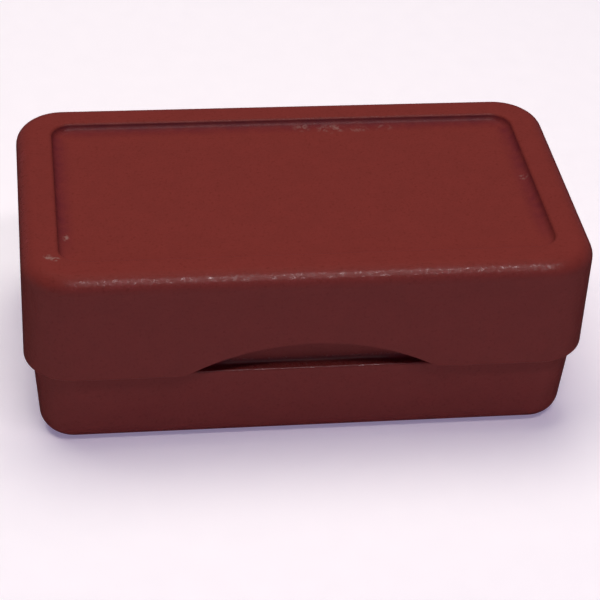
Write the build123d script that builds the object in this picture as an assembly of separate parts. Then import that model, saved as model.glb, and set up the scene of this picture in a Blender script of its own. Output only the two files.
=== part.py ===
from build123d import *
import math
import os

# Raised ink pad in a hinged moulded case.
# Millimetres, +Z up, front towards -Y. The origin is the centre of the flat underside.

# Case, outside
lid_width = 66.0
lid_depth = 38.1
lid_height = 13.9
ledge_height = 10.5  # from the table to the ledge that the lid's rim rests on
corner_radius = 5.8  # upright corners of the lid
lid_edge_radius = 2.0  # soft edge around the top of the lid
lid_overhang = 1.0  # how far the lid stands out past the base, all round
base_draft = 4.6  # degrees; the base narrows towards the table
foot_radius = 2.6  # rounding between the base's walls and its underside
crisp_radius = 0.3  # small radius on moulded edges

# Walls
lid_wall = 1.6
lid_ceiling = 1.5  # thickness under the recessed panel
hollow_edge_radius = 0.8
rim_wall = 1.2  # raised wall inside the lid
rim_height = 3.0  # above the ledge
rim_foot_radius = 0.6  # where the raised wall meets the ledge
ledge_depth = 1.4
floor_thickness = 1.6
plate_step = 1.0  # width of the step that carries the pad plate
plate_seat = 6.6  # height of that step above the floor

# Recessed panel in the lid's top
panel_margin = 4.2
panel_depth = 1.0
panel_slope = 22.0  # degrees off upright, of the walls round the panel
panel_corner_radius = 2.6
panel_lip_radius = 0.5
panel_foot_radius = 0.9

# Thumb notch in the lid's front
notch_width = 30.0
notch_height = 4.2
notch_blend = 7.0

# Catch beads and guide ribs
bead_clearance = 0.1  # between a lid bead and a base bead as they pass
bead_radius = 0.5
bead_length = 6.0
bead_from_notch = 4.0
base_bead_height = 1.9  # above the ledge
lid_bead_height = 0.9
rib_clearance = 0.3  # to the base's raised wall
rib_width = 1.2
rib_spacing = 16.0
rib_height = 6.5

# Hinge
hinge_spacing = 40.0
hinge_setback = 2.2  # from the lid's back face to the axis
knuckle_radius = 1.9
knuckle_width = 6.0
knuckle_web = 4.2  # height of the knuckle's root on the lid's back face
ear_width = 3.0
ear_root = 5.6  # height of an ear's root on the base's back wall
ear_drop = 0.3  # clearance under the lid's overhanging rim
side_gap = 0.15
pin_radius = 0.75
pin_inset = 0.2
pin_running_gap = 0.05
pin_seat_gap = 0.01
open_angle = 110.0
heel_angle = 20.0  # how far under level the stop heel points when the lid is open
heel_radius = 0.7
stop_gap = 0.05

# Inking pad
reservoir_gap = 0.15
plate_thickness = 1.4
fit_gap = 0.1
wick_radius = 1.5
wick_columns = 7
wick_rows = 3
wick_pitch = 7.0
frame_width = 2.8
frame_edge_radius = 0.6
cloth_thickness = 0.5
cloth_gap = 0.15
hem_inset = 0.8
pad_rise = 3.4  # how far the inking face stands above its frame
pad_corner_radius = 1.8
pad_edge_radius = 1.2
foam_gap = 0.05

# Places that follow from the sizes above
lid_top = ledge_height + lid_height
base_width = lid_width - 2 * lid_overhang
base_depth = lid_depth - 2 * lid_overhang
base_corner = corner_radius - lid_overhang
rim_width = base_width - 2 * ledge_depth
rim_depth = base_depth - 2 * ledge_depth
rim_corner = base_corner - ledge_depth
rim_top = ledge_height + rim_height
well_width = rim_width - 2 * rim_wall
well_depth = rim_depth - 2 * rim_wall
well_corner = rim_corner - rim_wall
hollow_width = lid_width - 2 * lid_wall
hollow_depth = lid_depth - 2 * lid_wall
hollow_corner = corner_radius - lid_wall
hollow_top = lid_top - panel_depth - lid_ceiling
rim_gap = lid_overhang + ledge_depth - lid_wall  # between the raised wall and the lid
bead_proud = (rim_gap - bead_clearance) / 2
rib_proud = rim_gap - rib_clearance
hinge_y = lid_depth / 2 + hinge_setback
hinge_z = ledge_height
hinge_sides = {"left": -hinge_spacing / 2, "right": hinge_spacing / 2}
plate_bottom = floor_thickness + plate_seat
plate_top = plate_bottom + plate_thickness
frame_opening_width = well_width - 2 * frame_width
frame_opening_depth = well_depth - 2 * frame_width
pad_width = frame_opening_width - 2 * cloth_gap
pad_depth = frame_opening_depth - 2 * cloth_gap
pad_top = rim_top + pad_rise
overlap = 0.6  # how far a joined piece reaches into the wall that carries it


def rounded_block(width, depth, low, high, radius):
    outline = Pos(0, 0, low) * RectangleRounded(width, depth, radius)
    return extrude(outline, high - low)


def side_profile(points):
    """A face in the YZ plane from (y, z) points."""
    return make_face(Polyline([(0, y, z) for y, z in points], close=True).edges())


def across(profile, middle, width):
    """Extrudes a YZ face along X, centred on middle."""
    return Pos(middle - width / 2, 0, 0) * extrude(profile, width, dir=(1, 0, 0))


def hinge_disc(radius, y=0.0, z=0.0):
    """A YZ disc at an offset from the hinge axis."""
    middle = (0, hinge_y + y, hinge_z + z)
    return Plane(origin=middle, x_dir=(0, 1, 0), z_dir=(1, 0, 0)) * Circle(radius)


def tangent_point(y, z, side):
    """Where a line from (y, z) touches the knuckle's circle; side picks one of the two."""
    reach = math.hypot(y - hinge_y, z - hinge_z)
    turn = math.atan2(z - hinge_z, y - hinge_y) + side * math.acos(knuckle_radius / reach)
    return hinge_y + knuckle_radius * math.cos(turn), hinge_z + knuckle_radius * math.sin(turn)


def hinge_bore(middle, width, radius):
    return across(hinge_disc(radius), middle, width)


def bead(y, z, middle):
    """A rounded ridge along X."""
    body = Cylinder(bead_radius, bead_length, rotation=(0, 90, 0))
    return Pos(middle, y, z) * body


def bead_places():
    start = notch_width / 2 + bead_from_notch
    return [side * (start + bead_length / 2) for side in (-1, 1)]


def edges_inside(shape, width, depth, low, high):
    """The shape's edges that lie whole in a box centred on the Z axis."""
    slack = 0.01
    kept = []
    for edge in shape.edges():
        box = edge.bounding_box()
        wide = max(abs(box.min.X), abs(box.max.X)) < width / 2 + slack
        deep = max(abs(box.min.Y), abs(box.max.Y)) < depth / 2 + slack
        if wide and deep and box.min.Z > low - slack and box.max.Z < high + slack:
            kept.append(edge)
    return kept


def lid_knuckle(middle):
    """Knuckle, the web up the lid's back face, and the heel that stops the lid."""
    back = lid_depth / 2
    root = back - overlap
    web_top = ledge_height + knuckle_web
    touch = tangent_point(back, web_top, -1)
    web = side_profile([(root, ledge_height), (root, web_top), (back, web_top), touch, (hinge_y, hinge_z)])
    parts = [across(face, middle, knuckle_width) for face in (hinge_disc(knuckle_radius), web, stop_heel())]
    return parts[0] + parts[1] + parts[2]


def stop_heel():
    """An arm with a round end, which meets the base's back wall when the lid is fully open."""
    lean = math.radians(base_draft)
    wall_distance = (lid_overhang + hinge_setback) * math.cos(lean)
    reach = (wall_distance - heel_radius - stop_gap) / math.cos(math.radians(heel_angle) + lean)
    rest = math.radians(180 + heel_angle + open_angle)
    end_y = reach * math.cos(rest)
    end_z = reach * math.sin(rest)
    side_y = heel_radius * math.sin(rest)
    side_z = -heel_radius * math.cos(rest)
    near = [(side_y, side_z), (-side_y, -side_z)]
    corners = [near[0], (end_y + side_y, end_z + side_z), (end_y - side_y, end_z - side_z), near[1]]
    arm = side_profile([(hinge_y + y, hinge_z + z) for y, z in corners])
    return hinge_disc(heel_radius, end_y, end_z) + arm


def base_ear(middle):
    """One ear of the base's clevis, with its root down the back wall."""
    inside = base_depth / 2 - overlap - ledge_height * math.tan(math.radians(base_draft))
    top = ledge_height - ear_drop
    low = ledge_height - ear_root
    wall_y = base_depth / 2 - ear_root * math.tan(math.radians(base_draft))
    touch = tangent_point(wall_y, low, 1)
    arm = side_profile([(inside, low - overlap), (inside, top), (hinge_y, top), (hinge_y, hinge_z), touch])
    return across(arm, middle, ear_width) + across(hinge_disc(knuckle_radius), middle, ear_width)


def ear_places():
    offset = knuckle_width / 2 + side_gap + ear_width / 2
    return [middle + side * offset for middle in hinge_sides.values() for side in (-1, 1)]


def make_lid():
    shell = rounded_block(lid_width, lid_depth, ledge_height, lid_top, corner_radius)
    shell = fillet(shell.edges().group_by(Axis.Z)[-1], lid_edge_radius)
    shell = fillet(shell.edges().group_by(Axis.Z)[0], crisp_radius)
    hollow = rounded_block(hollow_width, hollow_depth, ledge_height, hollow_top, hollow_corner)
    hollow = fillet(hollow.edges().group_by(Axis.Z)[-1], hollow_edge_radius)
    panel_width = lid_width - 2 * panel_margin
    panel_length = lid_depth - 2 * panel_margin
    outline = Pos(0, 0, lid_top) * RectangleRounded(panel_width, panel_length, panel_corner_radius)
    panel = extrude(outline, panel_depth, dir=(0, 0, -1), taper=panel_slope)
    panel = fillet(panel.edges().group_by(Axis.Z)[0], panel_foot_radius)
    lid = shell - hollow - panel
    lid = fillet(edges_inside(lid, panel_width, panel_length, lid_top, lid_top), panel_lip_radius)
    lid -= thumb_notch()

    for middle in bead_places():
        lid += bead(bead_proud - bead_radius - hollow_depth / 2, ledge_height + lid_bead_height, middle)
    for side in (-1, 1):
        for place in (-rib_spacing / 2, rib_spacing / 2):
            middle = side * (hollow_width / 2 + (overlap - rib_proud) / 2)
            rib = Box(rib_proud + overlap, rib_width, rib_height)
            lid += Pos(middle, place, hollow_top - rib_height / 2) * rib
    for middle in hinge_sides.values():
        lid += lid_knuckle(middle)
        lid -= hinge_bore(middle, knuckle_width, pin_radius + pin_running_gap)
    return lid


def thumb_notch():
    """An arched cut through the lid's front, blended into the rim at both ends."""
    radius = ((notch_width / 2) ** 2 + notch_height**2) / (2 * notch_height)
    arch = Pos(0, notch_height - radius) * Circle(radius)
    below = Pos(0, -notch_width / 2) * Rectangle(2 * notch_width, notch_width)
    outline = fillet((arch + below).vertices().group_by(Axis.Y)[-1], notch_blend)
    front = Plane(origin=(0, -lid_depth / 2, ledge_height), x_dir=(1, 0, 0), z_dir=(0, -1, 0))
    return extrude(front * outline, 2 * lid_wall, both=True)


def make_base():
    outline = Pos(0, 0, ledge_height) * RectangleRounded(base_width, base_depth, base_corner)
    base = extrude(outline, ledge_height, dir=(0, 0, -1), taper=base_draft)
    base = fillet(base.edges().group_by(Axis.Z)[-1], crisp_radius)
    base = fillet(base.edges().group_by(Axis.Z)[0], foot_radius)
    rim = rounded_block(rim_width, rim_depth, floor_thickness, rim_top, rim_corner)
    base += fillet(rim.edges().group_by(Axis.Z)[-1], crisp_radius)
    base = fillet(edges_inside(base, rim_width, rim_depth, ledge_height, ledge_height), rim_foot_radius)
    base -= rounded_block(well_width, well_depth, plate_bottom, rim_top, well_corner)
    reservoir_width = well_width - 2 * plate_step
    reservoir_depth = well_depth - 2 * plate_step
    base -= rounded_block(reservoir_width, reservoir_depth, floor_thickness, plate_bottom, well_corner)
    for middle in bead_places():
        base += bead(-rim_depth / 2 + bead_radius - bead_proud, ledge_height + base_bead_height, middle)
    for middle in ear_places():
        base += base_ear(middle)
    for middle in hinge_sides.values():
        length = knuckle_width + 2 * (side_gap + ear_width)
        base -= hinge_bore(middle, length, pin_radius + pin_seat_gap)
    return base


def make_pin(middle):
    length = knuckle_width + 2 * (side_gap + ear_width - pin_inset)
    pin = Pos(middle, hinge_y, hinge_z) * Rot(0, 90, 0) * Cylinder(pin_radius, length)
    return chamfer(pin.edges().filter_by(GeomType.CIRCLE), pin_inset)


def make_reservoir():
    width = well_width - 2 * (plate_step + reservoir_gap)
    depth = well_depth - 2 * (plate_step + reservoir_gap)
    return rounded_block(width, depth, floor_thickness, plate_bottom, well_corner)


def insert_block(low, high):
    """A block that drops into the tray's well with a small clearance."""
    return rounded_block(well_width - 2 * fit_gap, well_depth - 2 * fit_gap, low, high, well_corner)


def make_plate():
    wicks = Sketch() + GridLocations(wick_pitch, wick_pitch, wick_columns, wick_rows) * Circle(wick_radius)
    return insert_block(plate_bottom, plate_top) - extrude(Pos(0, 0, plate_bottom) * wicks, plate_thickness)


def make_frame():
    hem_top = plate_top + cloth_thickness
    opening_corner = pad_corner_radius + cloth_gap
    opening = rounded_block(frame_opening_width, frame_opening_depth, hem_top, rim_top, opening_corner)
    frame = insert_block(hem_top, rim_top) - opening
    lip = edges_inside(frame, frame_opening_width, frame_opening_depth, rim_top, rim_top)
    return fillet(lip, frame_edge_radius)


def make_cover():
    """The woven cover, with the hem that the frame clamps."""
    cover = rounded_block(pad_width, pad_depth, plate_top, pad_top, pad_corner_radius)
    cover = fillet(cover.edges().group_by(Axis.Z)[-1], pad_edge_radius)
    hem_width = well_width - 2 * hem_inset
    hem_depth = well_depth - 2 * hem_inset
    cover += rounded_block(hem_width, hem_depth, plate_top, plate_top + cloth_thickness, pad_corner_radius)
    return cover - foam_block(0)


def foam_block(gap):
    inset = cloth_thickness + gap
    corner = pad_corner_radius - cloth_thickness
    block = rounded_block(pad_width - 2 * inset, pad_depth - 2 * inset, plate_top, pad_top - inset, corner)
    return fillet(block.edges().group_by(Axis.Z)[-1], pad_edge_radius - cloth_thickness)


pieces = {
    "lid": make_lid(),
    "base_tray": make_base(),
    "ink_reservoir": make_reservoir(),
    "pad_plate": make_plate(),
    "pad_foam": foam_block(foam_gap),
    "pad_cover": make_cover(),
    "pad_frame": make_frame(),
}
for side, middle in hinge_sides.items():
    pieces["hinge_pin_" + side] = make_pin(middle)

os.makedirs("parts", exist_ok=True)
for name, piece in pieces.items():
    piece.label = name
    export_step(piece, "parts/" + name + ".step")
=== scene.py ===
import math

import bmesh
import bpy
from mathutils import Matrix, Vector, noise


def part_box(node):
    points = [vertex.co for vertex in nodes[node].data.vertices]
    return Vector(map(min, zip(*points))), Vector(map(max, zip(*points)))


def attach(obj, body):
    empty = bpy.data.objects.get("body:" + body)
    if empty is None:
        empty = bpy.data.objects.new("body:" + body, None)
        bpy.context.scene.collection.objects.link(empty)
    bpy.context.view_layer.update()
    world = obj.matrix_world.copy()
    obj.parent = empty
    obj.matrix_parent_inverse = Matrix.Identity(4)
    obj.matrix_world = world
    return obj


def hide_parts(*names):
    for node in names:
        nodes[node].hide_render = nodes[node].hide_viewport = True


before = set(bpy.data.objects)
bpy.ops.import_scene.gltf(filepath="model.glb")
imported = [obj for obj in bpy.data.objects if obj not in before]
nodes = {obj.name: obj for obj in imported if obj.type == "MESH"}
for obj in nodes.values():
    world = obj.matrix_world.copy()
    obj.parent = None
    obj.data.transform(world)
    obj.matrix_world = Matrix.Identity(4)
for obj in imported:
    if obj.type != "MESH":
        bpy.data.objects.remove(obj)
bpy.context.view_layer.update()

mm = 0.001
print("frame loaded")


# colours and node trees

def fromHex(text, alpha=1.0):
    # sRGB hex to the linear values that Blender mixes
    parts = [int(text[i:i + 2], 16) / 255 for i in (1, 3, 5)]
    linear = [c / 12.92 if c <= 0.04045 else ((c + 0.055) / 1.055) ** 2.4 for c in parts]
    return (*linear, alpha)


def addNode(tree, kind, sockets=None, **settings):
    node = tree.nodes.new(kind)
    for name, value in settings.items():
        setattr(node, name, value)
    for key, value in (sockets or {}).items():
        if isinstance(value, bpy.types.NodeSocket):
            tree.links.new(value, node.inputs[key])
        else:
            node.inputs[key].default_value = value
    return node


def perSize(size):
    return 1 / (size * mm)  # a texture's scale for features this many mm across


def startMaterial(name):
    material = bpy.data.materials.new(name)
    material.use_nodes = True
    tree = material.node_tree
    shader = tree.nodes["Principled BSDF"]
    place = addNode(tree, "ShaderNodeTexCoord").outputs["Object"]
    return material, tree, shader, place


# camera, in front of the pad, a little to its left and looking down at it

camera = {
    "azimuth": -9.33,       # degrees, from straight in front
    "elevation": 35.75,
    "roll": 3.39,
    "distance": 260.3,      # mm from the middle of the underside
    "aside": -1.52,         # mm that this point sits right of the picture's middle
    "above": -5.74,         # mm above it
    "lens": 124.0,
    "sensor": 36.0,
}


def makeCamera(s):
    azimuth, elevation, roll = (math.radians(s[k]) for k in ("azimuth", "elevation", "roll"))
    back = Vector((math.sin(azimuth) * math.cos(elevation), -math.cos(azimuth) * math.cos(elevation),
                   math.sin(elevation)))
    level = Vector((0, 0, 1)).cross(back).normalized()
    upright = back.cross(level)
    right = math.cos(roll) * level + math.sin(roll) * upright
    up = math.cos(roll) * upright - math.sin(roll) * level
    place = (back * s["distance"] - right * s["aside"] - up * s["above"]) * mm
    data = bpy.data.cameras.new("camera")
    data.lens, data.sensor_width = s["lens"], s["sensor"]
    data.clip_start, data.clip_end = 0.01, 10
    made = bpy.data.objects.new("camera", data)
    made.matrix_world = Matrix.Translation(place) @ Matrix((right, up, back)).transposed().to_4x4()
    bpy.context.scene.collection.objects.link(made)
    bpy.context.scene.camera = made


# studio: pale sweep, a key lamp and a strip lamp high in front, and softboxes overhead and low in front.
# Only the two lamps are mirrored in the plastic, which gives a thin broken glint along each edge.

studio = {
    "floorSize": 4.0,            # m
    "fleckSize": 3.0,            # mm
    "floorRoughness": 0.9,
    "floorTones": ("#f2f2f2", "#fafafa"),
    "floorFill": 0.26,           # keeps the sweep pale under the shadow
    "cool": "#dcd2ff",           # daylight from the front and the sweep
    "surroundPower": (0.01, 0.0, 0.06),   # of the sweep, the dark front of the room and its pale back
    "frontToBack": (-0.2, 0.3),  # where the room turns from dark to pale, as a direction's Y
    "lowToHigh": (-0.4, -0.1),   # where the sweep gives way to the room, as a direction's Z
    "wallPower": 0.95,           # how pale the studio wall looks to the camera
    "lamps": [
        # name, place mm, aim mm, width and height mm, watts, colour, lights the matt, mirrored in the plastic
        ("keyLamp", (60, -200, 395), (0, -10, 18), (220, 36), 0.44, "#fff0f4", True, True),
        ("stripLamp", (40, -330, 330), (0, -10, 12), (200, 24), 0.22, "#fff0f4", False, True),
        ("overheadSoftbox", (-40, 80, 460), (0, 0, 12), (420, 300), 1.82, "#fff8ec", True, False),
        ("frontSoftbox", (40, -400, 120), (0, -10, 18), (700, 150), 0.15, "#b49cff", True, False),
    ],
}


def makeFloor(s):
    # matt white paper, faintly flecked: soft shadows and no reflection
    half = s["floorSize"] / 2
    mesh = bpy.data.meshes.new("floor")
    corners = [(-half, -half, 0), (half, -half, 0), (half, half, 0), (-half, half, 0)]
    mesh.from_pydata(corners, [], [(0, 1, 2, 3)])
    floor = bpy.data.objects.new("floor", mesh)
    bpy.context.scene.collection.objects.link(floor)
    material, tree, shader, place = startMaterial("matt paper sweep")
    fleck = addNode(tree, "ShaderNodeTexNoise", {"Vector": place, "Scale": perSize(s["fleckSize"]),
                                                 "Detail": 4.0})
    tone = addNode(tree, "ShaderNodeMix", {0: fleck.outputs["Fac"], 6: fromHex(s["floorTones"][0]),
                                           7: fromHex(s["floorTones"][1])}, data_type="RGBA")
    tree.links.new(tone.outputs[2], shader.inputs["Base Color"])
    shader.inputs["Roughness"].default_value = s["floorRoughness"]
    shader.inputs["Emission Color"].default_value = fromHex(s["cool"])
    shader.inputs["Emission Strength"].default_value = s["floorFill"]
    mesh.materials.append(material)
    floor.visible_glossy = False  # the sweep lights the plastic but isn't mirrored in it


def makeLamps(s):
    for name, place, aim, size, power, colour, spread, mirrored in s["lamps"]:
        data = bpy.data.lights.new(name, "AREA")
        data.shape = "RECTANGLE"
        data.size, data.size_y = (side * mm for side in size)
        data.energy = power
        data.color = fromHex(colour)[:3]
        lamp = bpy.data.objects.new(name, data)
        lamp.location = Vector(place) * mm
        lamp.rotation_euler = (Vector(aim) - Vector(place)).to_track_quat("-Z", "Y").to_euler()
        lamp.visible_diffuse, lamp.visible_glossy = spread, mirrored
        bpy.context.scene.collection.objects.link(lamp)


def makeSurround(s):
    world = bpy.data.worlds.new("studio")
    world.use_nodes = True
    tree = world.node_tree
    tree.nodes["Background"].inputs["Color"].default_value = fromHex(s["cool"])
    around = addNode(tree, "ShaderNodeTexCoord").outputs["Generated"]
    split = addNode(tree, "ShaderNodeSeparateXYZ", {"Vector": around}).outputs
    below, front, back = s["surroundPower"]
    above = addNode(tree, "ShaderNodeMapRange", {
        "Value": split["Y"], "From Min": s["frontToBack"][0], "From Max": s["frontToBack"][1],
        "To Min": front, "To Max": back}).outputs["Result"]
    power = addNode(tree, "ShaderNodeMapRange", {
        "Value": split["Z"], "From Min": s["lowToHigh"][0], "From Max": s["lowToHigh"][1],
        "To Min": below, "To Max": above}).outputs["Result"]
    tree.links.new(power, tree.nodes["Background"].inputs["Strength"])
    wall = addNode(tree, "ShaderNodeBackground", {"Color": fromHex("#ffffff"), "Strength": s["wallPower"]})
    seen = addNode(tree, "ShaderNodeLightPath").outputs["Is Camera Ray"]
    mixed = addNode(tree, "ShaderNodeMixShader", {0: seen, 1: tree.nodes["Background"].outputs[0],
                                                  2: wall.outputs[0]})
    tree.links.new(mixed.outputs[0], tree.nodes["World Output"].inputs["Surface"])
    bpy.context.scene.world = world


makeCamera(camera)
makeFloor(studio)
makeLamps(studio)
makeSurround(studio)
bpy.context.scene.view_settings.view_transform = "Standard"
print("camera and studio ready")


# the case: injection-moulded polystyrene, pigmented burgundy, from a spark-eroded mould.
# The mould leaves a fine sandy grain, so flats look satin and tight edges sparkle.

casePlastic = {
    "deep": "#75302c",
    "light": "#78312d",
    "mottleSize": 2.2,       # mm, drift of the pigment
    "mottleRange": (0.3, 0.7),   # of the noise, as every range below
    "speckSize": 0.34,       # mm, pigment specks
    "speckTone": "#6c2a25",
    "speckRange": (0.52, 0.80),
    "craterSize": 0.45,      # mm, spark-eroded craters, drawn a little coarse so that they show
    "grainSize": 0.30,       # mm, the sand over them
    "grainDepth": 0.019,     # mm
    "craterShare": 0.7,      # craters against sand
    "swirlSize": 1.6,        # mm, faint flow ripple under the grain
    "swirlDepth": 0.004,
    "roughness": (0.33, 0.45),
    "specular": 0.15,
    "ior": 1.55,
    "scuff": "#7e3636",
    "scuffSize": 0.42,       # mm, worn spots along the rounded edges
    "patchSize": 6.0,        # mm, stretches of edge that are worn more
    "patchShare": 0.30,
    "wornRange": (0.68, 0.84),
    "edgePolish": 0.05,      # handled edges are a little glossier
    "glintSize": 0.6,        # mm, grains worn flat, which sparkle along an edge
    "glintRange": (0.50, 0.66),
    "glintPolish": 0.18,
}

# adhesive residue of a label and lint, caught in the panel on top; places and sizes in mm
panelResidue = {
    "tone": "#8c6a66",
    "streakSize": 1.1,       # mm, drawn-out streaks in a smear
    "streakRange": (0.44, 0.62),
    "crumbSize": 0.5,        # mm, crumbs in a speck
    "crumbRange": (0.42, 0.60),
    "dullness": 0.15,
    "smears": [
        # middle, half sizes, strength
        ((2.4, 13.9, 23.6), (1.4, 1.1, 0.7), 0.45),
        ((6.0, 13.5, 23.4), (2.2, 1.3, 0.7), 0.60),
        ((9.4, 13.4, 23.4), (1.8, 0.9, 0.7), 0.35),
        ((12.6, 13.6, 23.4), (1.6, 0.8, 0.7), 0.35),
    ],
    "specks": [
        ((-27.7, -8.8, 23.5), (0.5, 0.8, 0.6), 0.8),
        ((-29.9, -13.9, 24.4), (0.7, 0.6, 0.5), 1.0),
        ((-29.1, -14.4, 24.4), (0.7, 0.5, 0.5), 1.0),
        ((27.9, 1.2, 23.6), (0.8, 0.7, 0.6), 0.6),
    ],
}

# painted shade: a soft dark band along the foot of the panel's back and side walls, where the recess shades
# its floor
panelPaintedShade = {
    "tone": "#5a1f2a",
    "reach": 2.3,            # mm in from the panel's wall
    "wallWidth": 1.0,        # mm that it may climb the wall
    "frontFade": 0.5,        # it is full behind this share of the half depth
    "strength": 0.55,
    "raggedSize": 1.4,
}

# ink that crept onto the frame round the pad and dried to a dark film
inkCreep = {
    "tone": "#2c0a0f",
    "reach": 0.9,            # mm from the pad
    "raggedSize": 4.5,
    "fade": 0.5,
    "gloss": 0.12,
}


def distanceOut(tree, place, halfX, halfY):
    # how far a point lies outside a rectangle round the middle
    split = addNode(tree, "ShaderNodeSeparateXYZ", {"Vector": place}).outputs
    out = []
    for axis, half in (("X", halfX), ("Y", halfY)):
        across = addNode(tree, "ShaderNodeMath", {0: split[axis]}, operation="ABSOLUTE").outputs[0]
        out.append(addNode(tree, "ShaderNodeMath", {0: across, 1: half}, operation="SUBTRACT").outputs[0])
    most = addNode(tree, "ShaderNodeMath", {0: out[0], 1: out[1]}, operation="MAXIMUM").outputs[0]
    return most, split["Z"]


def edgeBand(tree, place, e):
    # 1 along a rounded edge, easing to 0 away from it
    out, height = distanceOut(tree, place, e["halfX"], e["halfY"])
    below = addNode(tree, "ShaderNodeMath", {0: e["top"], 1: height}, operation="SUBTRACT").outputs[0]
    reach = addNode(tree, "ShaderNodeMath", {0: below, 1: out}, operation="SUBTRACT").outputs[0]
    band = addNode(tree, "ShaderNodeMapRange", {"Value": reach, "From Min": e["far"], "From Max": e["near"]},
                   interpolation_type="SMOOTHSTEP").outputs["Result"]
    # only from the edge's top down to its depth
    middle = e["depth"] / 2
    inside = addNode(tree, "ShaderNodeMath", {0: below, 1: middle, 2: middle + e["slack"]},
                     operation="COMPARE").outputs[0]
    return addNode(tree, "ShaderNodeMath", {0: band, 1: inside}, operation="MULTIPLY").outputs[0]


def spotMask(tree, place, centre, size, strength):
    # an ellipsoid with a soft skin
    local = addNode(tree, "ShaderNodeMapping", {
        "Vector": place, "Location": [c * mm for c in centre], "Scale": [s * mm for s in size],
    }, vector_type="TEXTURE").outputs["Vector"]
    far = addNode(tree, "ShaderNodeVectorMath", {0: local}, operation="LENGTH").outputs["Value"]
    return addNode(tree, "ShaderNodeMapRange", {"Value": far, "From Min": 1.0, "From Max": 0.35,
                                                "To Max": strength},
                   interpolation_type="SMOOTHSTEP").outputs["Result"]


def witnessRing(tree, place, centre, radius, width):
    # the ring left by an ejector pin or a gate, one in each quarter
    folded = addNode(tree, "ShaderNodeVectorMath", {0: place}, operation="ABSOLUTE").outputs["Vector"]
    offset = addNode(tree, "ShaderNodeVectorMath", {0: folded, 1: [c * mm for c in centre]},
                     operation="SUBTRACT").outputs["Vector"]
    # heights count eightfold, so that a ring shows on its own face only
    offset = addNode(tree, "ShaderNodeVectorMath", {0: offset, 1: (1, 1, 8)}, operation="MULTIPLY").outputs[0]
    offset = addNode(tree, "ShaderNodeVectorMath", {0: offset}, operation="LENGTH").outputs["Value"]
    gap = addNode(tree, "ShaderNodeMath", {0: offset, 1: radius * mm}, operation="SUBTRACT").outputs[0]
    gap = addNode(tree, "ShaderNodeMath", {0: gap}, operation="ABSOLUTE").outputs[0]
    return addNode(tree, "ShaderNodeMapRange", {"Value": gap, "From Min": width * mm, "From Max": 0.0},
                   interpolation_type="SMOOTHSTEP").outputs["Result"]


def addResidue(tree, place, colour, rough, s):
    streak = addNode(tree, "ShaderNodeTexNoise", {"Vector": place, "Scale": perSize(s["streakSize"]),
                                                  "Detail": 4.0, "Roughness": 0.65, "Distortion": 1.5})
    streak = addNode(tree, "ShaderNodeMapRange", {"Value": streak.outputs["Fac"],
                                                  "From Min": s["streakRange"][0],
                                                  "From Max": s["streakRange"][1]},
                     interpolation_type="SMOOTHSTEP").outputs["Result"]
    crumb = addNode(tree, "ShaderNodeTexNoise", {"Vector": place, "Scale": perSize(s["crumbSize"]),
                                                 "Detail": 2.0})
    crumb = addNode(tree, "ShaderNodeMapRange", {"Value": crumb.outputs["Fac"],
                                                 "From Min": s["crumbRange"][0],
                                                 "From Max": s["crumbRange"][1]}).outputs["Result"]
    broken = [(spot, streak) for spot in s["smears"]] + [(spot, crumb) for spot in s["specks"]]
    for spot, breaks in broken:
        mask = spotMask(tree, place, *spot)
        mask = addNode(tree, "ShaderNodeMath", {0: mask, 1: breaks}, operation="MULTIPLY").outputs[0]
        colour = addNode(tree, "ShaderNodeMix", {0: mask, 6: colour, 7: fromHex(s["tone"])},
                         data_type="RGBA").outputs[2]
        rough = addNode(tree, "ShaderNodeMath", {0: mask, 1: s["dullness"], 2: rough},
                        operation="MULTIPLY_ADD").outputs[0]
    return colour, rough


# painted shade: darkens the panel's floor near its walls and the foot of those walls, fading out towards the
# front
def addPaintedShade(tree, place, colour, s):
    out, height = distanceOut(tree, place, s["halfX"], s["halfY"])
    ragged = addNode(tree, "ShaderNodeTexNoise", {"Vector": place, "Scale": perSize(s["raggedSize"]),
                                                  "Detail": 4.0}).outputs["Fac"]
    inkFilmAndPaintedShade = addNode(tree, "ShaderNodeMapRange", {"Value": out, "From Min": -s["reach"] * mm, "From Max": 0.0,
                                                "To Max": 2 * s["strength"]},
                   interpolation_type="SMOOTHSTEP").outputs["Result"]
    inkFilmAndPaintedShade = addNode(tree, "ShaderNodeMath", {0: inkFilmAndPaintedShade, 1: ragged}, operation="MULTIPLY").outputs[0]
    # only in the recess, and not along its front
    sunk = addNode(tree, "ShaderNodeMath", {0: height, 1: s["below"]}, operation="LESS_THAN").outputs[0]
    inside = addNode(tree, "ShaderNodeMath", {0: out, 1: s["wallWidth"] * mm},
                     operation="LESS_THAN").outputs[0]
    across = addNode(tree, "ShaderNodeSeparateXYZ", {"Vector": place}).outputs["Y"]
    rear = addNode(tree, "ShaderNodeMapRange", {"Value": across, "From Min": -s["halfY"],
                                                "From Max": -s["frontFade"] * s["halfY"]}).outputs["Result"]
    for limit in (sunk, inside, rear):
        inkFilmAndPaintedShade = addNode(tree, "ShaderNodeMath", {0: inkFilmAndPaintedShade, 1: limit}, operation="MULTIPLY").outputs[0]
    return addNode(tree, "ShaderNodeMix", {0: inkFilmAndPaintedShade, 6: colour, 7: fromHex(s["tone"])},
                   data_type="RGBA").outputs[2]


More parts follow.
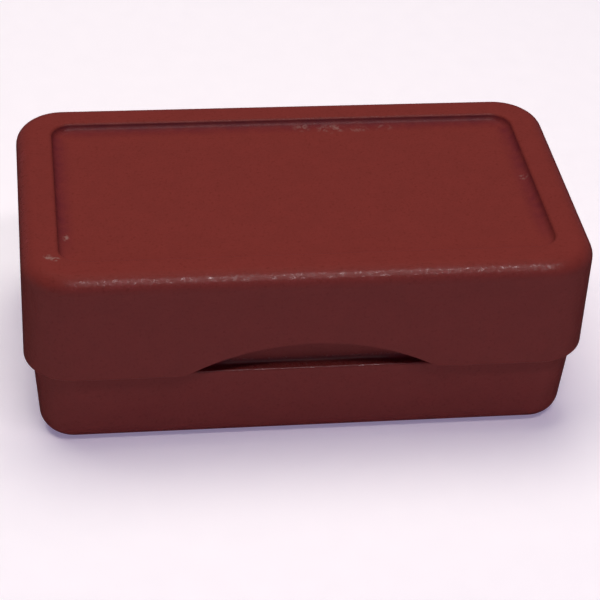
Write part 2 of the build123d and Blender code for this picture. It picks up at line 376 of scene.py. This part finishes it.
def addInkFilm(tree, place, colour, rough, s):
    out, _ = distanceOut(tree, place, s["halfX"], s["halfY"])
    ragged = addNode(tree, "ShaderNodeTexNoise", {"Vector": place, "Scale": perSize(s["raggedSize"]),
                                                  "Detail": 3.0}).outputs["Fac"]
    # the noise is near 0.5, so the film ends about one reach outside the pad
    edge = addNode(tree, "ShaderNodeMath", {0: ragged, 1: -2 * s["reach"] * mm, 2: out},
                   operation="MULTIPLY_ADD").outputs[0]
    inkFilmAndPaintedShade = addNode(tree, "ShaderNodeMapRange", {"Value": edge, "From Min": s["fade"] * mm,
                                                "From Max": -s["fade"] * mm},
                   interpolation_type="SMOOTHSTEP").outputs["Result"]
    colour = addNode(tree, "ShaderNodeMix", {0: inkFilmAndPaintedShade, 6: colour, 7: fromHex(s["tone"])},
                     data_type="RGBA").outputs[2]
    rough = addNode(tree, "ShaderNodeMath", {0: inkFilmAndPaintedShade, 1: -s["gloss"], 2: rough},
                    operation="MULTIPLY_ADD").outputs[0]
    return colour, rough


def mouldedPlastic(name, s, edges=(), rings=(), residue=None, paintedShade=None, inkFilm=None):
    material, tree, shader, place = startMaterial(name)
    mottle = addNode(tree, "ShaderNodeTexNoise", {"Vector": place, "Scale": perSize(s["mottleSize"]),
                                                  "Detail": 3.0, "Roughness": 0.6}).outputs["Fac"]
    mottle = addNode(tree, "ShaderNodeMapRange", {"Value": mottle, "From Min": s["mottleRange"][0],
                                                  "From Max": s["mottleRange"][1]},
                     interpolation_type="SMOOTHSTEP").outputs["Result"]
    colour = addNode(tree, "ShaderNodeMix", {0: mottle, 6: fromHex(s["deep"]), 7: fromHex(s["light"])},
                     data_type="RGBA").outputs[2]
    speck = addNode(tree, "ShaderNodeTexNoise", {"Vector": place, "Scale": perSize(s["speckSize"]),
                                                 "Detail": 2.0}).outputs["Fac"]
    speck = addNode(tree, "ShaderNodeMapRange", {"Value": speck, "From Min": s["speckRange"][0],
                                                 "From Max": s["speckRange"][1]},
                    interpolation_type="SMOOTHSTEP").outputs["Result"]
    colour = addNode(tree, "ShaderNodeMix", {0: speck, 6: colour, 7: fromHex(s["speckTone"])},
                     data_type="RGBA").outputs[2]

    # spark-eroded grain: round craters over a finer sand, on a faint flow ripple
    crater = addNode(tree, "ShaderNodeTexVoronoi", {"Vector": place, "Smoothness": 0.6,
                                                    "Scale": perSize(s["craterSize"])},
                     feature="SMOOTH_F1").outputs["Distance"]
    sand = addNode(tree, "ShaderNodeTexNoise", {"Vector": place, "Scale": perSize(s["grainSize"]),
                                                "Detail": 2.0, "Roughness": 0.55}).outputs["Fac"]
    grain = addNode(tree, "ShaderNodeMath", {0: crater, 1: s["craterShare"], 2: sand},
                    operation="MULTIPLY_ADD").outputs[0]
    swirl = addNode(tree, "ShaderNodeTexNoise", {"Vector": place, "Scale": perSize(s["swirlSize"]),
                                                 "Detail": 1.0, "Distortion": 0.6}).outputs["Fac"]
    normal = addNode(tree, "ShaderNodeBump", {"Height": swirl, "Distance": s["swirlDepth"] * mm}).outputs[0]
    normal = addNode(tree, "ShaderNodeBump", {"Height": grain, "Distance": s["grainDepth"] * mm,
                                              "Normal": normal}).outputs[0]
    for centre, radius, width, height in rings:
        ring = witnessRing(tree, place, centre, radius, width)
        normal = addNode(tree, "ShaderNodeBump", {"Height": ring, "Distance": height * mm,
                                                  "Normal": normal}).outputs[0]
    rough = addNode(tree, "ShaderNodeMapRange", {"Value": sand, "From Min": 0.3, "From Max": 0.7,
                                                 "To Min": s["roughness"][0],
                                                 "To Max": s["roughness"][1]}).outputs["Result"]

    # worn spots come in patches along the rounded edges
    worn = addNode(tree, "ShaderNodeTexNoise", {"Vector": place, "Scale": perSize(s["scuffSize"]),
                                                "Detail": 3.0, "Roughness": 0.7}).outputs["Fac"]
    patch = addNode(tree, "ShaderNodeTexNoise", {"Vector": place, "Scale": perSize(s["patchSize"]),
                                                 "Detail": 1.0}).outputs["Fac"]
    worn = addNode(tree, "ShaderNodeMath", {0: patch, 1: s["patchShare"], 2: worn},
                   operation="MULTIPLY_ADD").outputs[0]
    worn = addNode(tree, "ShaderNodeMapRange", {"Value": worn, "From Min": s["wornRange"][0],
                                                "From Max": s["wornRange"][1]},
                   interpolation_type="SMOOTHSTEP").outputs["Result"]
    polished = addNode(tree, "ShaderNodeTexNoise", {"Vector": place, "Scale": perSize(s["glintSize"]),
                                                    "Detail": 4.0, "Roughness": 0.75}).outputs["Fac"]
    polished = addNode(tree, "ShaderNodeMapRange", {"Value": polished, "From Min": s["glintRange"][0],
                                                    "From Max": s["glintRange"][1]},
                       interpolation_type="SMOOTHSTEP").outputs["Result"]
    shine = s["specular"]
    for edge in edges:
        band = edgeBand(tree, place, edge)
        flat = addNode(tree, "ShaderNodeMath", {0: band, 1: polished}, operation="MULTIPLY").outputs[0]
        shine = addNode(tree, "ShaderNodeMath", {0: flat, 1: edge["gain"] * s["specular"], 2: shine},
                        operation="MULTIPLY_ADD").outputs[0]
        rough = addNode(tree, "ShaderNodeMath", {0: flat, 1: -s["glintPolish"], 2: rough},
                        operation="MULTIPLY_ADD").outputs[0]
        scuff = addNode(tree, "ShaderNodeMath", {0: band, 1: worn}, operation="MULTIPLY").outputs[0]
        colour = addNode(tree, "ShaderNodeMix", {0: scuff, 6: colour, 7: fromHex(s["scuff"])},
                         data_type="RGBA").outputs[2]
        rough = addNode(tree, "ShaderNodeMath", {0: band, 1: -s["edgePolish"], 2: rough},
                        operation="MULTIPLY_ADD").outputs[0]
    if paintedShade:
        colour = addPaintedShade(tree, place, colour, paintedShade)
    if residue:
        colour, rough = addResidue(tree, place, colour, rough, residue)
    if inkFilm:
        colour, rough = addInkFilm(tree, place, colour, rough, inkFilm)
    tree.links.new(colour, shader.inputs["Base Color"])
    tree.links.new(rough, shader.inputs["Roughness"])
    tree.links.new(normal, shader.inputs["Normal"])
    shader.inputs["IOR"].default_value = s["ior"]
    if edges:
        tree.links.new(shine, shader.inputs["Specular IOR Level"])
    else:
        shader.inputs["Specular IOR Level"].default_value = shine
    return material


def dress(name, material):
    data = nodes[name].data
    data.materials.clear()
    data.materials.append(material)


lidLow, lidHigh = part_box("lid")
trayLow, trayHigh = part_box("base_tray")
_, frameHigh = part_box("pad_frame")
_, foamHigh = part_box("pad_foam")
coverLow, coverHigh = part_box("pad_cover")
coverGap = coverHigh.z - foamHigh.z          # the cloth and its fit over the foam
padHalf = Vector((foamHigh.x + coverGap, foamHigh.y + coverGap))
rimHeight, rimWall = 3 * mm, 1.5 * mm        # the tray's raised wall
footRadius = 0.6 * mm                        # where it meets the ledge
ledgeTop = frameHigh.z - rimHeight
panelMargin, panelDip = 4.4 * mm, 0.25 * mm  # from the lid's sides to the panel, and its least depth

# near and far are where an edge's band starts to fade and ends; gain is how bright its worn grains are
lidEdge = {"halfX": lidHigh.x, "halfY": -lidLow.y, "top": lidHigh.z, "near": 1.18 * mm, "far": 1.45 * mm,
           "depth": 3 * mm, "slack": 0.05 * mm, "gain": 2.2}
ledgeEdge = dict(lidEdge, halfX=trayHigh.x, halfY=-trayLow.y, top=ledgeTop, near=0.16 * mm, far=0.32 * mm,
                 depth=1 * mm, gain=2.5)
wallFoot = dict(lidEdge, halfX=frameHigh.x + rimWall, halfY=frameHigh.y + rimWall, top=ledgeTop + footRadius,
                near=0.26 * mm, far=0.4 * mm, depth=footRadius, gain=8.0)
ejectorRing = ((24.0, 11.0, 21.9), 2.0, 0.14, 0.03)   # middle, radius, width and height in mm
gateRing = ((0.0, 0.0, 0.0), 1.6, 0.16, 0.04)
# the panel's painted shade, fitted to the lid
lidPaintedShade = dict(panelPaintedShade, halfX=lidHigh.x - panelMargin, halfY=-lidLow.y - panelMargin,
                below=lidHigh.z - panelDip)
dress("lid", mouldedPlastic("moulded polystyrene, lid", casePlastic, [lidEdge], [ejectorRing],
                            panelResidue, lidPaintedShade))
dress("base_tray", mouldedPlastic("moulded polystyrene, tray", casePlastic, [ledgeEdge, wallFoot],
                                  [gateRing]))
# frame and plate come from polished moulds, so they are smoother and glossier than the case
insertPlastic = dict(casePlastic, grainDepth=0.004, roughness=(0.24, 0.32))
insertMaterial = mouldedPlastic("moulded polystyrene, pad insert", insertPlastic,
                                inkFilm=dict(inkCreep, halfX=padHalf.x, halfY=padHalf.y))
dress("pad_frame", insertMaterial)
dress("pad_plate", insertMaterial)
print("case dressed")


# hinge pins: drawn carbon-steel wire, bright from the die, with fine lines along its length

pinSteel = {
    "bright": "#b9b9bd",
    "dull": "#8f9096",
    "lineSize": 0.07,        # mm between drawing lines
    "lineDepth": 0.004,
    "stainSize": 1.5,
    "roughness": (0.22, 0.42),
}


def drawnWire(name, s):
    material, tree, shader, place = startMaterial(name)
    along = addNode(tree, "ShaderNodeMapping", {"Vector": place, "Scale": (0.03, 1, 1)}).outputs["Vector"]
    line = addNode(tree, "ShaderNodeTexNoise", {"Vector": along, "Scale": perSize(s["lineSize"]),
                                                "Detail": 2.0}).outputs["Fac"]
    stain = addNode(tree, "ShaderNodeTexNoise", {"Vector": place, "Scale": perSize(s["stainSize"]),
                                                 "Detail": 3.0}).outputs["Fac"]
    tone = addNode(tree, "ShaderNodeMix", {0: stain, 6: fromHex(s["bright"]), 7: fromHex(s["dull"])},
                   data_type="RGBA").outputs[2]
    rough = addNode(tree, "ShaderNodeMapRange", {"Value": line, "To Min": s["roughness"][0],
                                                 "To Max": s["roughness"][1]}).outputs["Result"]
    bump = addNode(tree, "ShaderNodeBump", {"Height": line, "Distance": s["lineDepth"] * mm}).outputs[0]
    tree.links.new(tone, shader.inputs["Base Color"])
    tree.links.new(rough, shader.inputs["Roughness"])
    tree.links.new(bump, shader.inputs["Normal"])
    shader.inputs["Metallic"].default_value = 1.0
    return material


pinMaterial = drawnWire("drawn steel wire", pinSteel)
for side in ("left", "right"):
    dress("hinge_pin_" + side, pinMaterial)
print("pins dressed")


# the inking pad: plain-woven cotton stretched over the foam, tucked under the frame.
# It is wet with ink, so its threads are deep red with a soft gloss, drier on their crowns; the hollows
# between threads are also painted darker, as painted shade.

inkedCotton = {
    "wet": "#35070e",
    "dry": "#6e1c24",
    "poolSize": 7.0,         # mm, where ink has pooled and where stamps have lifted it
    "poolRange": (0.35, 0.68),
    "fuzzSize": 0.10,        # mm, fibres standing out of the threads
    "fuzzDepth": 0.015,
    "turns": 1.6,            # turns of the yarn's twist to each crossing
    "twistDepth": 0.03,      # mm
    "roughness": (0.62, 0.34),
    "sheen": 0.25,
}

cushion = {
    "spacing": 0.7,          # mm between threads, drawn about twice as coarse as real so that they show
    "cornerRadius": 1.8,     # in plan
    "edgeRadius": 1.2,       # over the foam's upper edge
    "startGap": 0.25,        # the form starts this much smaller and then swells
    "dishDepth": 0.15,       # and this much lower
    "pressure": 4.0,
    "simScale": 20,          # cloth solves badly at this size, so it swells enlarged
    "frames": 20,
    "cap": 1.1,              # mm that a point may move
    "give": 0.22,            # mm that the sides may be drawn in
    "frameGap": 0.12,        # mm kept from the frame's opening
    "lipBulge": 0.45,        # mm that the sides may swell out above the frame
    "lipHeight": 1.2,
    "relief": 0.17,          # mm from a thread's crown to the hollow between threads
    "waver": 0.07,           # mm that threads run out of line
    "hiddenDepth": 1.2,      # mm below the frame's top where the weave starts to show
    "shownDepth": 0.4,       # and where it is full
    "levels": 2,
    "fill": 0.75,            # how much of its form the padding holds
    "hemThick": 0.42,
    "hemLap": 0.05,          # mm that the hem reaches under the cloth's rim
    "simQuality": 6,
    "seed": 3,
}


def foldDown(away, s):
    # cloth past the flat: how far out it gets, and how far down
    corner, edge = s["cornerRadius"] * mm, s["edgeRadius"] * mm
    flat = corner - edge
    if away < flat:
        return away, 0.0
    turn = min((away - flat) / edge, math.pi / 2)
    hang = max(away - flat - edge * math.pi / 2, 0.0)
    return flat + edge * math.sin(turn), edge * (1 - math.cos(turn)) + hang


def sheetPoint(u, v, core, top, s):
    awayU, awayV = max(abs(u) - core.x, 0.0), max(abs(v) - core.y, 0.0)
    out, down = foldDown(max(awayU, awayV), s)
    if not out:
        return Vector((u, v, top))
    # the corner's squares are gathered into a quarter round
    turn = math.pi / 4 * awayV / awayU if awayU >= awayV else math.pi / 2 - math.pi / 4 * awayU / awayV
    x = min(abs(u), core.x) + out * math.cos(turn)
    y = min(abs(v), core.y) + out * math.sin(turn)
    return Vector((math.copysign(x, u), math.copysign(y, v), top - down))


def clothOverFoam(s):
    # one face to each thread crossing; sheetPlace counts the threads both ways
    step, gap = s["spacing"] * mm, s["startGap"] * mm
    corner, edge = s["cornerRadius"] * mm, s["edgeRadius"] * mm
    core = padHalf - Vector((1, 1)) * (gap + corner)
    top = coverHigh.z - gap - s["dishDepth"] * mm
    past = corner - edge + edge * math.pi / 2 + top - edge - coverLow.z
    reach = core + Vector((1, 1)) * past
    countX, countY = (round(2 * side / step) for side in reach)
    bm = bmesh.new()
    place = bm.verts.layers.float_vector.new("sheetPlace")
    rows = []
    for j in range(countY + 1):
        rows.append([])
        for i in range(countX + 1):
            u, v = (2 * i / countX - 1) * reach.x, (2 * j / countY - 1) * reach.y
            vert = bm.verts.new(sheetPoint(u, v, core, top, s))
            vert[place] = Vector((i, j, 0.0))
            rows[-1].append(vert)
    for low, high in zip(rows, rows[1:]):
        for a, b, c, d in zip(low, low[1:], high[1:], high):
            bm.faces.new((a, b, c, d))
    mesh = bpy.data.meshes.new("inkingPad")
    bm.to_mesh(mesh)
    rim = [vert.index for vert in bm.verts if vert.is_boundary]
    bm.free()
    return mesh, rim


def swell(mesh, rim, s):
    # the cloth is blown up a little, so that it crowns in the middle and draws in at the corners
    form = bpy.data.objects.new("cushionForm", mesh.copy())
    bpy.context.scene.collection.objects.link(form)
    form.data.transform(Matrix.Scale(s["simScale"], 4))
    form.vertex_groups.new(name="held").add(rim, 1.0, "REPLACE")
    cloth = form.modifiers.new("cloth", "CLOTH")
    cloth.settings.quality = s["simQuality"]
    cloth.settings.vertex_group_mass = "held"
    cloth.settings.use_pressure = True
    cloth.settings.uniform_pressure_force = s["pressure"]
    cloth.settings.effector_weights.gravity = 0
    cloth.collision_settings.use_collision = False
    cloth.point_cache.frame_start, cloth.point_cache.frame_end = 1, s["frames"]
    for step in range(1, s["frames"] + 1):
        bpy.context.scene.frame_set(step)
    swollen = form.evaluated_get(bpy.context.evaluated_depsgraph_get())
    cap, give, clear = s["cap"] * mm, s["give"] * mm, (s["frameGap"] + s["relief"]) * mm
    lip, wide = s["lipHeight"] * mm, s["lipBulge"] * mm
    for vert, moved in zip(mesh.vertices, swollen.data.vertices):
        shift = moved.co / s["simScale"] - vert.co
        # it can't be pulled into the foam by more than its give
        least = [max(abs(side) - give, 0.0) for side in vert.co.xy]
        vert.co += shift * cap / (cap + shift.length)
        vert.co.x = math.copysign(max(abs(vert.co.x), least[0]), vert.co.x)
        vert.co.y = math.copysign(max(abs(vert.co.y), least[1]), vert.co.y)
        # inside the frame's opening, and a little wider above it
        rise = min(max((vert.co.z - frameHigh.z) / lip, 0.0), 1.0)
        room = frameOpening - Vector((1, 1)) * (clear - wide * rise * rise * (3 - 2 * rise))
        vert.co.x = min(max(vert.co.x, -room.x), room.x)
        vert.co.y = min(max(vert.co.y, -room.y), room.y)
    bpy.data.objects.remove(form)
    bpy.context.scene.frame_set(1)


def weaveTree():
    tree = bpy.data.node_groups.new("plain weave", "GeometryNodeTree")
    for name, kind in (("Cloth", "NodeSocketGeometry"), ("Levels", "NodeSocketInt"),
                       ("Relief", "NodeSocketFloat"), ("Waver", "NodeSocketFloat"),
                       ("Hidden Below", "NodeSocketFloat"), ("Shown Above", "NodeSocketFloat"),
                       ("Seed", "NodeSocketFloat"), ("Material", "NodeSocketMaterial")):
        tree.interface.new_socket(name, in_out="INPUT", socket_type=kind)
    tree.interface.new_socket("Cloth", in_out="OUTPUT", socket_type="NodeSocketGeometry")
    given = addNode(tree, "NodeGroupInput").outputs
    fine = addNode(tree, "GeometryNodeSubdivisionSurface", {"Mesh": given["Cloth"], "Level": given["Levels"]})
    place = addNode(tree, "GeometryNodeInputNamedAttribute", {"Name": "sheetPlace"}, data_type="FLOAT_VECTOR")
    count = addNode(tree, "ShaderNodeSeparateXYZ", {0: place.outputs["Attribute"]}).outputs
    heights = []
    for across, along, shift in (("X", "Y", 0), ("Y", "X", 1)):
        # a thread's own section, times its way over and under the others
        nearest = addNode(tree, "ShaderNodeMath", {0: count[across]}, operation="ROUND").outputs[0]
        off = addNode(tree, "ShaderNodeMath", {0: count[across], 1: nearest}, operation="SUBTRACT").outputs[0]
        off = addNode(tree, "ShaderNodeMath", {0: off, 1: math.pi}, operation="MULTIPLY").outputs[0]
        section = addNode(tree, "ShaderNodeMath", {0: off}, operation="COSINE").outputs[0]
        section = addNode(tree, "ShaderNodeMath", {0: section, 1: 0.5}, operation="POWER").outputs[0]
        phase = addNode(tree, "ShaderNodeMath", {0: count[along], 1: nearest}, operation="ADD").outputs[0]
        phase = addNode(tree, "ShaderNodeMath", {0: phase, 1: math.pi, 2: shift * math.pi},
                        operation="MULTIPLY_ADD").outputs[0]
        wave = addNode(tree, "ShaderNodeMath", {0: phase}, operation="COSINE").outputs[0]
        wave = addNode(tree, "ShaderNodeMath", {0: wave, 1: 0.5, 2: 0.5}, operation="MULTIPLY_ADD").outputs[0]
        product = addNode(tree, "ShaderNodeMath", {0: section, 1: wave}, operation="MULTIPLY")
        heights.append(product.outputs[0])
    crown = addNode(tree, "ShaderNodeMath", {0: heights[0], 1: heights[1]}, operation="MAXIMUM").outputs[0]

    # plumper and thinner stretches of yarn, and threads a little out of line
    slub = addNode(tree, "ShaderNodeTexNoise", {"Vector": place.outputs["Attribute"], "W": given["Seed"],
                                                "Scale": 0.45, "Detail": 1.0}, noise_dimensions="4D")
    plump = addNode(tree, "ShaderNodeMapRange", {"Value": slub.outputs["Fac"], "From Min": 0.3,
                                                 "From Max": 0.7, "To Min": 0.75, "To Max": 1.0})
    lift = addNode(tree, "ShaderNodeMath", {0: crown, 1: plump.outputs["Result"]}, operation="MULTIPLY")
    lift = addNode(tree, "ShaderNodeMath", {0: lift.outputs[0], 1: given["Relief"]}, operation="MULTIPLY")
    height = addNode(tree, "ShaderNodeSeparateXYZ", {
        0: addNode(tree, "GeometryNodeInputPosition").outputs[0]}).outputs["Z"]
    shown = addNode(tree, "ShaderNodeMapRange", {"Value": height, "From Min": given["Hidden Below"],
                                                 "From Max": given["Shown Above"]}).outputs["Result"]
    lift = addNode(tree, "ShaderNodeMath", {0: lift.outputs[0], 1: shown}, operation="MULTIPLY").outputs[0]
    normal = addNode(tree, "GeometryNodeInputNormal").outputs["Normal"]
    offset = addNode(tree, "ShaderNodeVectorMath", {0: normal, "Scale": lift}, operation="SCALE").outputs[0]
    drift = addNode(tree, "ShaderNodeVectorMath", {0: slub.outputs["Color"], 1: (0.5, 0.5, 0.5)},
                    operation="SUBTRACT").outputs[0]
    drift = addNode(tree, "ShaderNodeVectorMath", {0: drift, 1: (1, 1, 0)}, operation="MULTIPLY").outputs[0]
    waver = addNode(tree, "ShaderNodeMath", {0: given["Waver"], 1: shown}, operation="MULTIPLY").outputs[0]
    drift = addNode(tree, "ShaderNodeVectorMath", {0: drift, "Scale": waver}, operation="SCALE").outputs[0]
    offset = addNode(tree, "ShaderNodeVectorMath", {0: offset, 1: drift}, operation="ADD").outputs[0]
    marked = addNode(tree, "GeometryNodeStoreNamedAttribute", {"Geometry": fine.outputs[0], "Name": "crown",
                                                               "Value": crown}, data_type="FLOAT")
    woven = addNode(tree, "GeometryNodeSetPosition", {"Geometry": marked.outputs[0], "Offset": offset})
    smooth = addNode(tree, "GeometryNodeSetShadeSmooth", {0: woven.outputs[0]})
    real = addNode(tree, "GeometryNodeRealizeInstances", {0: smooth.outputs[0]})
    dressed = addNode(tree, "GeometryNodeSetMaterial", {"Geometry": real.outputs[0],
                                                        "Material": given["Material"]})
    addNode(tree, "NodeGroupOutput", {0: dressed.outputs[0]})
    return tree


def applyTree(obj, tree, values):
    # the tree's result as a plain mesh, with no modifier left
    modifier = obj.modifiers.new(tree.name, "NODES")
    modifier.node_group = tree
    for item in tree.interface.items_tree:
        if item.in_out == "INPUT" and item.name in values:
            modifier[item.identifier] = values[item.name]
    made = obj.evaluated_get(bpy.context.evaluated_depsgraph_get())
    mesh = bpy.data.meshes.new_from_object(made)
    obj.modifiers.clear()
    obj.data = mesh


def addHem(bm, s):
    # the cloth's flat hem, clamped between plate and frame
    inner = padHalf - Vector((1, 1)) * (s["startGap"] * mm - s["hemLap"] * mm)
    outer = Vector((coverHigh.x, coverHigh.y))
    low, high = coverLow.z, coverLow.z + s["hemThick"] * mm
    rings = []
    for half, z in ((inner, low), (inner, high), (outer, high), (outer, low)):
        ring = [bm.verts.new((x * half.x, y * half.y, z)) for x, y in ((-1, -1), (1, -1), (1, 1), (-1, 1))]
        rings.append(ring)
    for a, b in zip(rings, rings[1:] + rings[:1]):
        for k in range(4):
            bm.faces.new((a[k], a[(k + 1) % 4], b[(k + 1) % 4], b[k]))


def wovenCotton(name, s):
    material, tree, shader, place = startMaterial(name)
    crown = addNode(tree, "ShaderNodeAttribute", attribute_name="crown").outputs["Fac"]
    count = addNode(tree, "ShaderNodeAttribute", attribute_name="sheetPlace").outputs["Vector"]
    pool = addNode(tree, "ShaderNodeTexNoise", {"Vector": place, "Scale": perSize(s["poolSize"]),
                                                "Detail": 4.0, "Roughness": 0.6}).outputs["Fac"]
    pool = addNode(tree, "ShaderNodeMapRange", {"Value": pool, "From Min": s["poolRange"][0],
                                                "From Max": s["poolRange"][1]},
                   interpolation_type="SMOOTHSTEP").outputs["Result"]
    # paler on the thread crowns and darker in the hollows: partly drier crowns, partly painted shade in the
    # hollows
    dry = addNode(tree, "ShaderNodeMath", {0: crown, 1: pool}, operation="MULTIPLY").outputs[0]
    colour = addNode(tree, "ShaderNodeMix", {0: dry, 6: fromHex(s["wet"]), 7: fromHex(s["dry"])},
                     data_type="RGBA").outputs[2]
    twist = addNode(tree, "ShaderNodeTexWave", {"Vector": count, "Scale": s["turns"], "Distortion": 0.6,
                                                "Detail": 1.0}, bands_direction="DIAGONAL").outputs["Fac"]
    fuzz = addNode(tree, "ShaderNodeTexNoise", {"Vector": place, "Scale": perSize(s["fuzzSize"]),
                                                "Detail": 3.0}).outputs["Fac"]
    normal = addNode(tree, "ShaderNodeBump", {"Height": twist, "Distance": s["twistDepth"] * mm}).outputs[0]
    normal = addNode(tree, "ShaderNodeBump", {"Height": fuzz, "Distance": s["fuzzDepth"] * mm,
                                              "Normal": normal}).outputs[0]
    rough = addNode(tree, "ShaderNodeMapRange", {"Value": dry, "To Min": s["roughness"][1],
                                                 "To Max": s["roughness"][0]}).outputs["Result"]
    tree.links.new(colour, shader.inputs["Base Color"])
    tree.links.new(rough, shader.inputs["Roughness"])
    tree.links.new(normal, shader.inputs["Normal"])
    shader.inputs["Sheen Weight"].default_value = s["sheen"]
    shader.inputs["Sheen Roughness"].default_value = 0.4
    return material


def makeInkingPad(s):
    mesh, rim = clothOverFoam(s)
    swell(mesh, rim, s)
    pad = bpy.data.objects.new("inkingPad", mesh)
    bpy.context.scene.collection.objects.link(pad)
    cotton = wovenCotton("inked cotton, plain weave", inkedCotton)
    applyTree(pad, weaveTree(), {
        "Levels": s["levels"], "Relief": s["relief"] * mm, "Waver": s["waver"] * mm, "Seed": s["seed"],
        "Hidden Below": frameHigh.z - s["hiddenDepth"] * mm,
        "Shown Above": frameHigh.z - s["shownDepth"] * mm, "Material": cotton})
    bm = bmesh.new()
    bm.from_mesh(pad.data)
    bmesh.ops.holes_fill(bm, edges=[edge for edge in bm.edges if edge.is_boundary])
    addHem(bm, s)
    bmesh.ops.recalc_face_normals(bm, faces=bm.faces)
    bm.to_mesh(pad.data)
    bm.free()
    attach(pad, "base")
    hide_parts("pad_cover")
    print("inking pad woven,", len(pad.data.polygons), "faces")


clothGap = 0.15 * mm                         # between the cloth and the frame round it
frameOpening = padHalf + Vector((1, 1)) * clothGap
makeInkingPad(cushion)


# the soft blocks inside: an open-cell foam core under the cloth, and a felt ink reservoir under the plate

foamBlock = {
    "node": "pad_foam",
    "slot": "pad_foam",
    "inset": 0.10,           # mm clear of its neighbours
    "edgeRadius": 0.9,
    "voxel": 0.6,
    "lumpSize": 1.3,         # mm, torn cells on the cut faces
    "lumpDepth": 0.16,
    "fill": 0.9,
}
feltBlock = {
    "node": "ink_reservoir",
    "slot": "reservoir_felt",
    "inset": 0.06,
    "edgeRadius": 0.6,
    "voxel": 0.7,
    "lumpSize": 3.5,         # mm, the felt's thick and thin places
    "lumpDepth": 0.30,
    "fill": 0.8,
}
# cut foam soaked with ink: dark open cells between drier struts that catch a little light
inkedFoam = {
    "wet": "#2c060c",
    "dry": "#5d1820",
    "poolSize": 6.0,
    "cellSize": 0.55,        # mm, open cells
    "strutRange": (0.22, 0.02),  # distance from a cell's edge, in cells, from bare to full strut
    "cellDepth": 0.20,
    "roughness": (0.45, 0.75),
}
# felt soaked with ink: a dull dark mat of fibres, faintly fuzzy where it is seen edge on
woolFelt = {
    "wet": "#26070b",
    "dry": "#4e1a20",
    "poolSize": 8.0,
    "fibreSize": 0.16,       # mm, matted fibres, several together
    "fibreDepth": 0.08,
    "roughness": (0.55, 0.85),
    "sheen": 0.3,
}


def openCellFoam(name, s):
    material, tree, shader, place = startMaterial(name)
    pool = addNode(tree, "ShaderNodeTexNoise", {"Vector": place, "Scale": perSize(s["poolSize"]),
                                                "Detail": 3.0}).outputs["Fac"]
    cell = addNode(tree, "ShaderNodeTexVoronoi", {"Vector": place, "Scale": perSize(s["cellSize"])},
                   feature="DISTANCE_TO_EDGE").outputs["Distance"]
    strut = addNode(tree, "ShaderNodeMapRange", {"Value": cell, "From Min": s["strutRange"][0],
                                                 "From Max": s["strutRange"][1]},
                    interpolation_type="SMOOTHSTEP").outputs["Result"]
    dry = addNode(tree, "ShaderNodeMath", {0: strut, 1: pool}, operation="MULTIPLY").outputs[0]
    colour = addNode(tree, "ShaderNodeMix", {0: dry, 6: fromHex(s["wet"]), 7: fromHex(s["dry"])},
                     data_type="RGBA").outputs[2]
    rough = addNode(tree, "ShaderNodeMapRange", {"Value": pool, "To Min": s["roughness"][0],
                                                 "To Max": s["roughness"][1]}).outputs["Result"]
    bump = addNode(tree, "ShaderNodeBump", {"Height": strut, "Distance": s["cellDepth"] * mm}).outputs[0]
    tree.links.new(colour, shader.inputs["Base Color"])
    tree.links.new(rough, shader.inputs["Roughness"])
    tree.links.new(bump, shader.inputs["Normal"])
    return material


def mattedFelt(name, s):
    material, tree, shader, place = startMaterial(name)
    pool = addNode(tree, "ShaderNodeTexNoise", {"Vector": place, "Scale": perSize(s["poolSize"]),
                                                "Detail": 3.0}).outputs["Fac"]
    fibre = addNode(tree, "ShaderNodeTexNoise", {"Vector": place, "Scale": perSize(s["fibreSize"] * 6),
                                                 "Detail": 5.0, "Distortion": 4.0}).outputs["Fac"]
    colour = addNode(tree, "ShaderNodeMix", {0: pool, 6: fromHex(s["wet"]), 7: fromHex(s["dry"])},
                     data_type="RGBA").outputs[2]
    rough = addNode(tree, "ShaderNodeMapRange", {"Value": fibre, "To Min": s["roughness"][0],
                                                 "To Max": s["roughness"][1]}).outputs["Result"]
    bump = addNode(tree, "ShaderNodeBump", {"Height": fibre, "Distance": s["fibreDepth"] * mm}).outputs[0]
    tree.links.new(colour, shader.inputs["Base Color"])
    tree.links.new(rough, shader.inputs["Roughness"])
    tree.links.new(bump, shader.inputs["Normal"])
    shader.inputs["Sheen Weight"].default_value = s["sheen"]
    return material


def makeSoftBlock(name, s, material):
    low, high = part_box(s["node"])
    inset = Vector((1, 1, 1)) * s["inset"] * mm
    size, middle = high - low - 2 * inset, (low + high) / 2
    bm = bmesh.new()
    bmesh.ops.create_cube(bm, size=1, matrix=Matrix.LocRotScale(middle, None, size))
    bmesh.ops.bevel(bm, geom=bm.edges, offset=s["edgeRadius"] * mm, segments=4, profile=0.5, affect="EDGES")
    mesh = bpy.data.meshes.new(name)
    bm.to_mesh(mesh)
    bm.free()
    block = bpy.data.objects.new(name, mesh)
    bpy.context.scene.collection.objects.link(block)
    remesh = block.modifiers.new("remesh", "REMESH")
    remesh.mode, remesh.voxel_size, remesh.use_smooth_shade = "VOXEL", s["voxel"] * mm, True
    made = block.evaluated_get(bpy.context.evaluated_depsgraph_get())
    block.data = bpy.data.meshes.new_from_object(made)
    block.modifiers.clear()
    for vert in block.data.vertices:
        # only inwards, so that the block stays in its space
        lump = noise.noise(vert.co * perSize(s["lumpSize"])) * 0.5 + 0.5
        vert.co -= vert.normal * lump * s["lumpDepth"] * mm
    block.data.materials.clear()
    block.data.materials.append(material)
    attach(block, "base")
    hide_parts(s["node"])
    print(name, "made,", len(block.data.polygons), "faces")


makeSoftBlock("foamCore", foamBlock, openCellFoam("inked polyurethane foam, cut", inkedFoam))
makeSoftBlock("feltReservoir", feltBlock, mattedFelt("inked wool felt", woolFelt))
